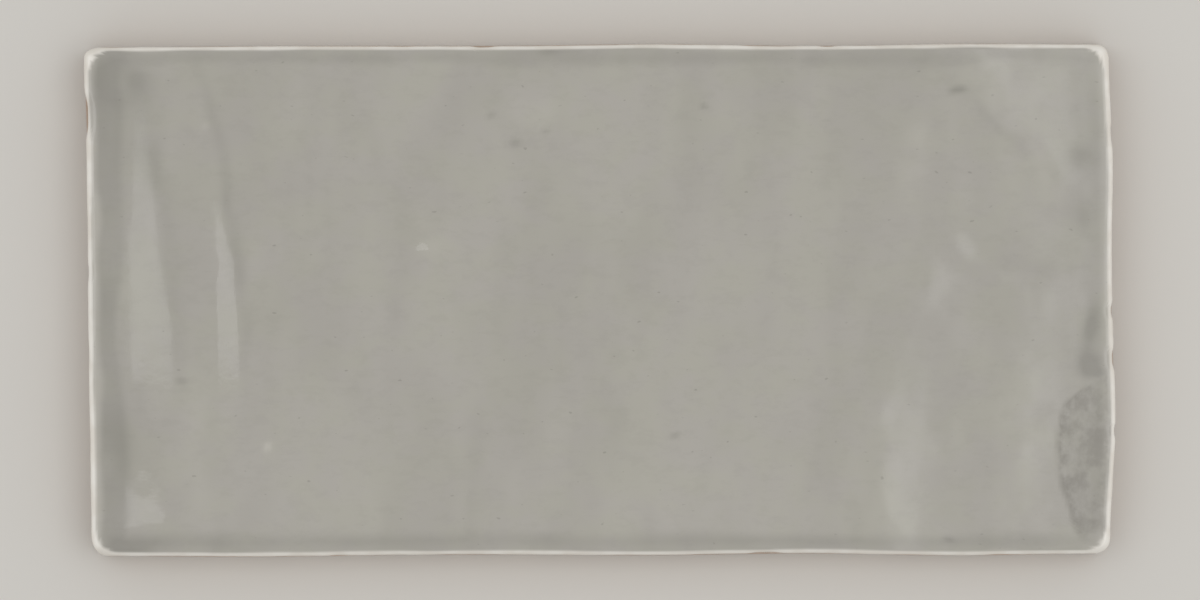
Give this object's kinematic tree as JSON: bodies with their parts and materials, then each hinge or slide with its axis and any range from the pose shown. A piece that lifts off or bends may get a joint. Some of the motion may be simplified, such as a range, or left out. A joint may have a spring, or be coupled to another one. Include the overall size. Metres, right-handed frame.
{
  "type": "ceramic wall tile",
  "caption": "Rectangular glazed ceramic wall tile with softly wandering edges, a gently rippled gloss face and a ribbed back that keys into adhesive.",
  "frame": {"origin": "middle of the back, on the plane of its ribs", "axes": "+X along the length, +Y across the width towards the head edge, +Z out through the glazed face"},
  "size_m": [0.151, 0.0755, 0.0094],
  "materials": {
    "glazed_ceramic": "warm grey gloss glaze, cream where it thins over the arris, on a buff-pink fired body"
  },
  "bodies": {
    "root": {"wall_tile": "glazed_ceramic"}
  },
  "joints": []
}
